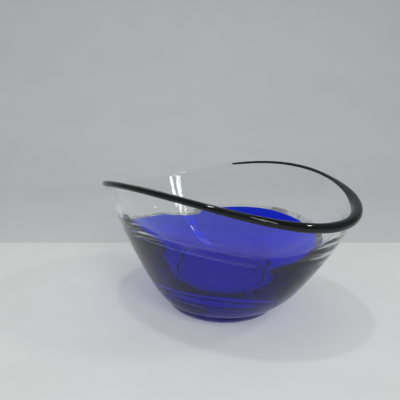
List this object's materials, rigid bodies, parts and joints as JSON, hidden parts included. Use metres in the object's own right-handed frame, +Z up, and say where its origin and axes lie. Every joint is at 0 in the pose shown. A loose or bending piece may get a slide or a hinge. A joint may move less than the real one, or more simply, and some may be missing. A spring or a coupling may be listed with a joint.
{
  "type": "art glass bowl",
  "caption": "Hand-blown oval glass bowl with a cobalt lower part on a low foot, a clear collar fused on top, and a waved lip edged with a black glass trail.",
  "frame": {"origin": "centre of the flat base, on the surface that the bowl stands on", "axes": "+Z up out of the mouth; +X along the long axis of the oval mouth, towards the thickest stretch of the black trail; +Y along the short axis"},
  "size_m": [0.2047, 0.1579, 0.1073],
  "materials": {
    "clear_glass": "fire-polished clear glass with a faint green-grey tint",
    "cobalt_glass": "transparent cobalt blue glass",
    "black_glass": "glossy near-opaque black glass, greenish where it is thin"
  },
  "bodies": {
    "root": {"clear_collar": "clear_glass", "cobalt_bowl": "cobalt_glass", "foot_pad": "cobalt_glass", "lip_wrap": "black_glass"}
  },
  "joints": []
}
